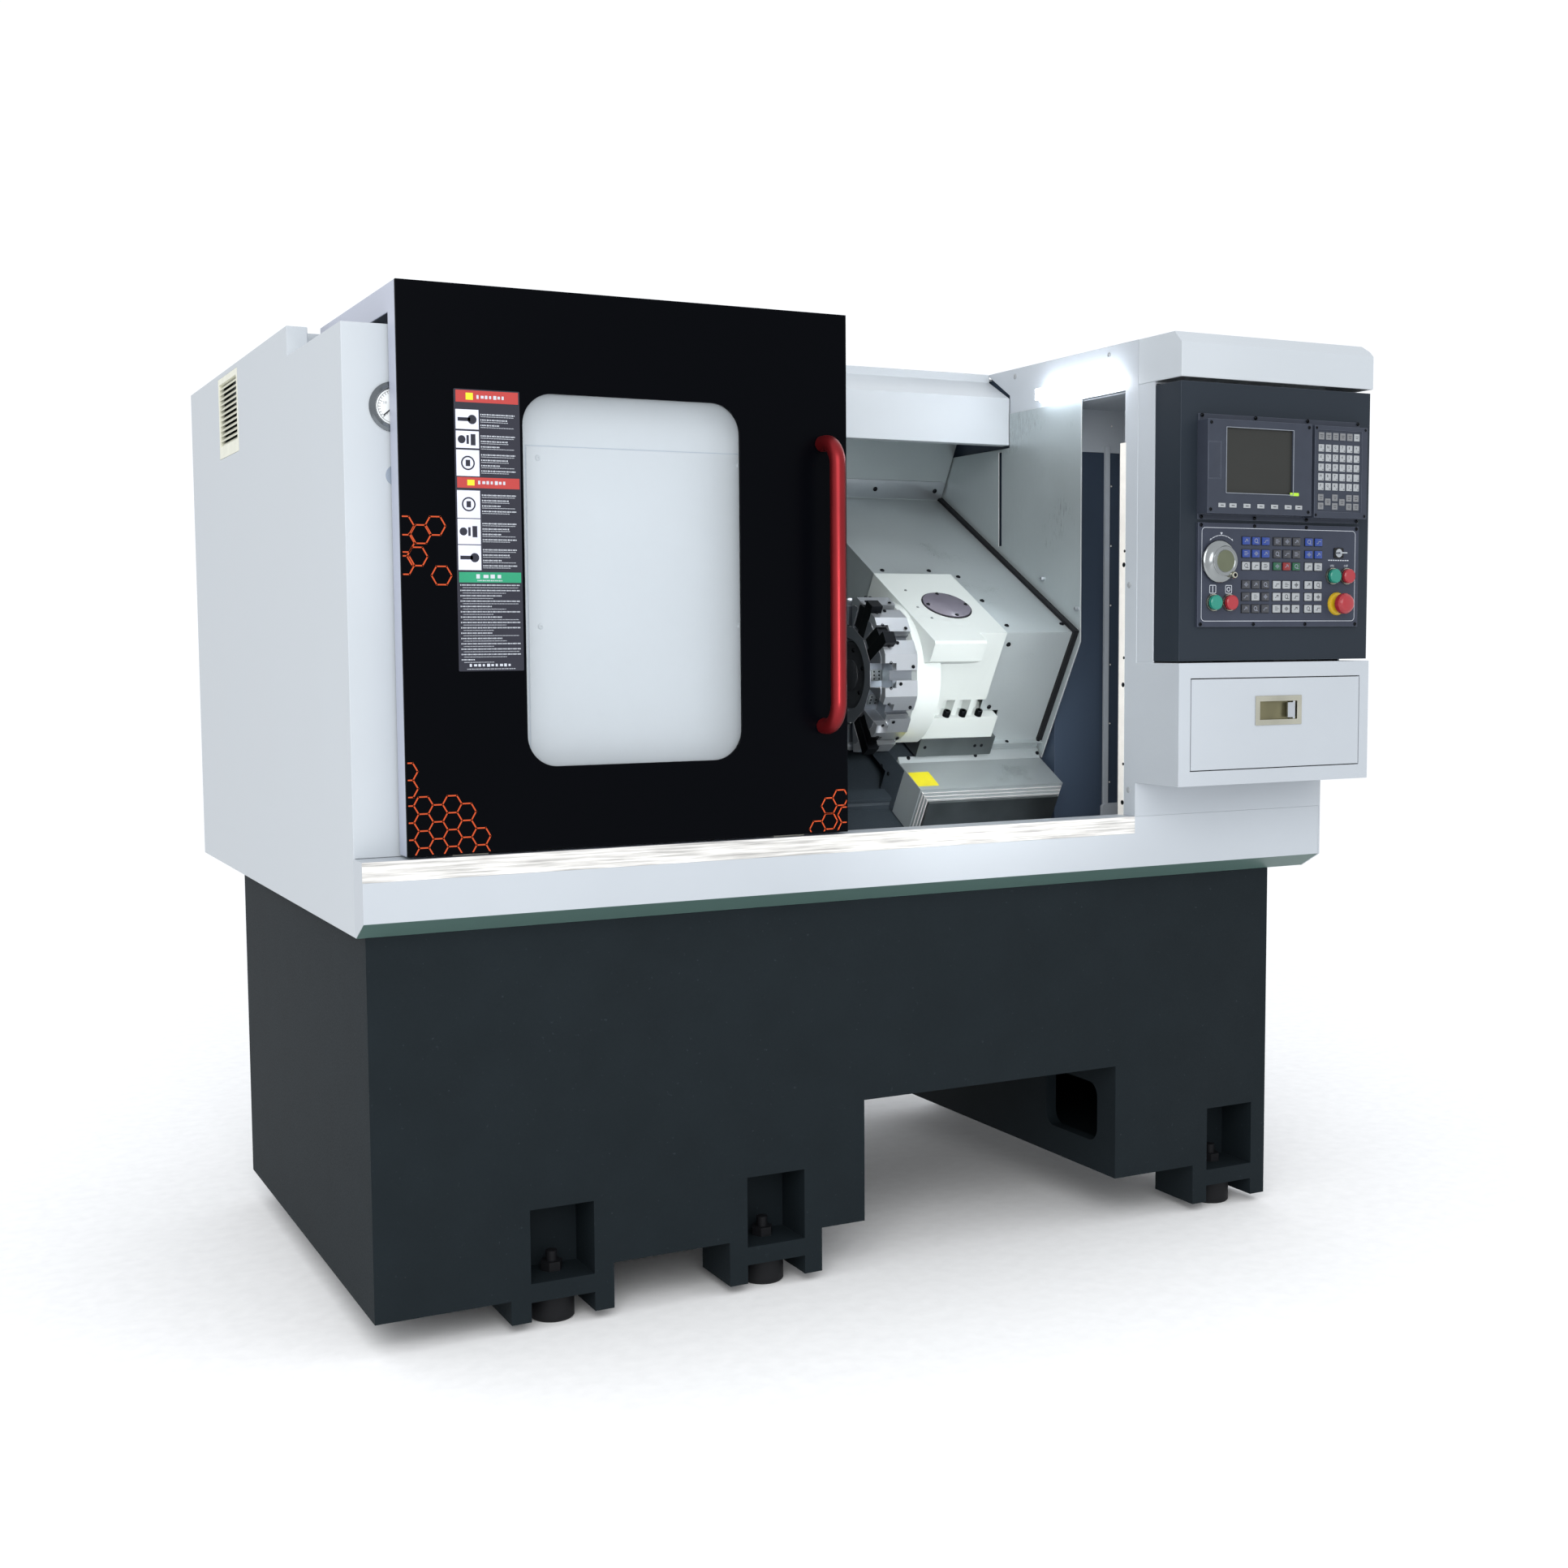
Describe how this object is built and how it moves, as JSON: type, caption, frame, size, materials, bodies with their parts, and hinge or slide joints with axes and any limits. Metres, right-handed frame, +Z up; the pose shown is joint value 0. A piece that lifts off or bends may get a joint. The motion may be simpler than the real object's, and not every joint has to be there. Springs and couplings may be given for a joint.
{
  "type": "slant-bed CNC turning lathe",
  "caption": "Enclosed slant-bed turning lathe: cast base on levelling feet, sliding front door, stainless work area with tool turret, control column on the right.",
  "frame": {"origin": "middle of the footprint, on the floor", "axes": "+X along the spindle towards the control column, +Y towards the back, +Z up"},
  "size_m": [1.993, 1.641, 1.752],
  "materials": {
    "white_paint": "satin",
    "lilac_paint": "satin",
    "black_paint": "gloss",
    "base_paint": "painted satin",
    "bed_paint": "painted satin",
    "pan_steel": "matt zinc",
    "stainless": "satin",
    "sill_steel": "brushed",
    "vent_plastic": "matt",
    "gauge_chrome": "polished",
    "needle_black": "matt",
    "box_paint": "textured",
    "screen_glass": "matt",
    "key_plastic": "matt",
    "jamb_paint": "satin",
    "lamp_plastic": "diffuse",
    "motor_paint": "satin",
    "belt_rubber": "matt",
    "ground_steel": "ground",
    "chuck_steel": "ground",
    "window_glass": "clear",
    "handle_red": "anodised",
    "pad_plastic": "matt",
    "flange_black": "matt",
    "turret_white": "satin",
    "disc_steel": "ground",
    "tool_black": "black oxide",
    "wheel_chrome": "turned",
    "button_green": "gloss",
    "button_red": "gloss",
    "key_steel": "satin",
    "pull_chrome": "polished",
    "pad_rubber": "painted"
  },
  "bodies": {
    "machine": {"base_casting": "base_paint", "levelling_pads": "pad_rubber", "chip_pan": "pan_steel", "apron_panel": "white_paint", "sill_strip": "sill_steel", "left_cover": "white_paint", "left_vent": "vent_plastic", "gauge_case": "gauge_chrome", "rear_casing": "white_paint", "header_beam": "white_paint", "column_shell": "white_paint", "column_hood": "white_paint", "control_box": "box_paint", "control_unit": "box_paint", "lcd_screen": "screen_glass", "key_caps": "key_plastic", "operator_panel": "box_paint", "inner_lining": "stainless", "jamb_panel": "jamb_paint", "work_lamp": "lamp_plastic", "bed_casting": "bed_paint", "headstock": "bed_paint", "spindle_motor": "motor_paint", "drive_belt": "belt_rubber", "z_drive": "motor_paint"},
    "door": {"door_panel": "black_paint", "door_shell": "lilac_paint", "door_window": "window_glass", "door_handle": "handle_red", "door_pads": "pad_plastic"},
    "spindle": {"spindle": "ground_steel", "chuck_body": "chuck_steel"},
    "jaw_1": {"chuck_jaw_1": "chuck_steel"},
    "jaw_2": {"chuck_jaw_2": "chuck_steel"},
    "jaw_3": {"chuck_jaw_3": "chuck_steel"},
    "motor_rotor": {"motor_pulley": "ground_steel"},
    "feed_screw": {"z_screw": "ground_steel"},
    "saddle": {"saddle": "bed_paint", "saddle_guard": "stainless", "bulkhead": "stainless", "bulkhead_seal": "flange_black"},
    "sheet_2": {"telescopic_sheet_2": "stainless"},
    "sheet_3": {"telescopic_sheet_3": "stainless"},
    "sheet_4": {"telescopic_sheet_4": "stainless"},
    "cross_slide": {"cross_slide": "ground_steel", "turret_housing": "turret_white"},
    "turret": {"turret_disc": "disc_steel", "tool_blocks": "disc_steel", "tool_holders": "tool_black"},
    "handwheel": {"handwheel": "wheel_chrome"},
    "start_button": {"start_button": "button_green"},
    "hold_button": {"hold_button": "button_red"},
    "power_on_button": {"power_on_button": "button_green"},
    "power_off_button": {"power_off_button": "button_red"},
    "emergency_stop": {"emergency_stop": "button_red"},
    "key_switch": {"key_switch": "key_steel"},
    "gauge_needle": {"gauge_needle": "needle_black"},
    "drawer": {"drawer": "white_paint", "pull_plate": "pull_chrome"},
    "pull_paddle": {"pull_paddle": "pull_chrome"}
  },
  "joints": [
    {"name": "door_slide", "type": "slide", "parent": "machine", "child": "door", "axis": [1, 0, 0], "range_m": [0, 0.637]},
    {"name": "spindle_spin", "type": "hinge", "parent": "machine", "child": "spindle", "pos_m": [0, -0.5135, 0.9986], "axis": [1, 0, 0], "continuous": true},
    {"name": "jaw_1_slide", "type": "slide", "parent": "spindle", "child": "jaw_1", "axis": [0, 0, 1], "range_m": [0, 0.004]},
    {"name": "jaw_2_slide", "type": "slide", "parent": "spindle", "child": "jaw_2", "axis": [0, -0.866, -0.5], "range_m": [0, 0.004]},
    {"name": "jaw_3_slide", "type": "slide", "parent": "spindle", "child": "jaw_3", "axis": [0, 0.866, -0.5], "range_m": [0, 0.004]},
    {"name": "motor_spin", "type": "hinge", "parent": "machine", "child": "motor_rotor", "pos_m": [0, -0.08051, 1.30863], "axis": [1, 0, 0], "continuous": true},
    {"name": "feed_screw_spin", "type": "hinge", "parent": "machine", "child": "feed_screw", "pos_m": [0, -0.13021, 0.99472], "axis": [1, 0, 0], "continuous": true},
    {"name": "saddle_slide", "type": "slide", "parent": "machine", "child": "saddle", "axis": [1, 0, 0], "range_m": [-0.23, 0]},
    {"name": "cross_slide_feed", "type": "slide", "parent": "saddle", "child": "cross_slide", "axis": [0, -0.866, -0.5], "range_m": [0, 0.07]},
    {"name": "sheet_2_slide", "type": "slide", "parent": "saddle", "child": "sheet_2", "axis": [0, -0.866, -0.5], "range_m": [0, 0.0175]},
    {"name": "sheet_3_slide", "type": "slide", "parent": "saddle", "child": "sheet_3", "axis": [0, -0.866, -0.5], "range_m": [0, 0.035]},
    {"name": "sheet_4_slide", "type": "slide", "parent": "saddle", "child": "sheet_4", "axis": [0, -0.866, -0.5], "range_m": [0, 0.0525]},
    {"name": "turret_index", "type": "hinge", "parent": "cross_slide", "child": "turret", "pos_m": [0, -0.31691, 1.1121], "axis": [1, 0, 0], "continuous": true},
    {"name": "handwheel_turn", "type": "hinge", "parent": "machine", "child": "handwheel", "pos_m": [0.612, -0.7865, 1.3245], "axis": [0, 1, 0], "continuous": true},
    {"name": "start_button_push", "type": "slide", "parent": "machine", "child": "start_button", "axis": [0, 1, 0], "range_m": [0, 0.003], "stiffness_N_per_m": 300},
    {"name": "hold_button_push", "type": "slide", "parent": "machine", "child": "hold_button", "axis": [0, 1, 0], "range_m": [0, 0.003], "stiffness_N_per_m": 300},
    {"name": "power_on_button_push", "type": "slide", "parent": "machine", "child": "power_on_button", "axis": [0, 1, 0], "range_m": [0, 0.003], "stiffness_N_per_m": 300},
    {"name": "power_off_button_push", "type": "slide", "parent": "machine", "child": "power_off_button", "axis": [0, 1, 0], "range_m": [0, 0.003], "stiffness_N_per_m": 300},
    {"name": "emergency_stop_push", "type": "slide", "parent": "machine", "child": "emergency_stop", "axis": [0, 1, 0], "range_m": [0, 0.005], "stiffness_N_per_m": 600},
    {"name": "key_turn", "type": "hinge", "parent": "machine", "child": "key_switch", "pos_m": [0.9115, -0.7865, 1.3445], "axis": [0, 1, 0], "range_deg": [0, 90]},
    {"name": "gauge_swing", "type": "hinge", "parent": "machine", "child": "gauge_needle", "pos_m": [-0.914, -0.6015, 1.559], "axis": [0, 1, 0], "range_deg": [0, 270]},
    {"name": "drawer_slide", "type": "slide", "parent": "machine", "child": "drawer", "axis": [0, -1, 0], "range_m": [0, 0.13]},
    {"name": "paddle_swing", "type": "hinge", "parent": "drawer", "child": "pull_paddle", "pos_m": [0.8065, -0.7835, 1.0395], "axis": [0, 0, 1], "range_deg": [-25, 0]}
  ],
  "couplings": [
    {"joint": "jaw_2_slide", "follows": "jaw_1_slide", "ratio": 1},
    {"joint": "jaw_3_slide", "follows": "jaw_1_slide", "ratio": 1},
    {"joint": "motor_spin", "follows": "spindle_spin", "ratio": 1},
    {"joint": "sheet_2_slide", "follows": "cross_slide_feed", "ratio": 0.25},
    {"joint": "sheet_3_slide", "follows": "cross_slide_feed", "ratio": 0.5},
    {"joint": "sheet_4_slide", "follows": "cross_slide_feed", "ratio": 0.75}
  ]
}
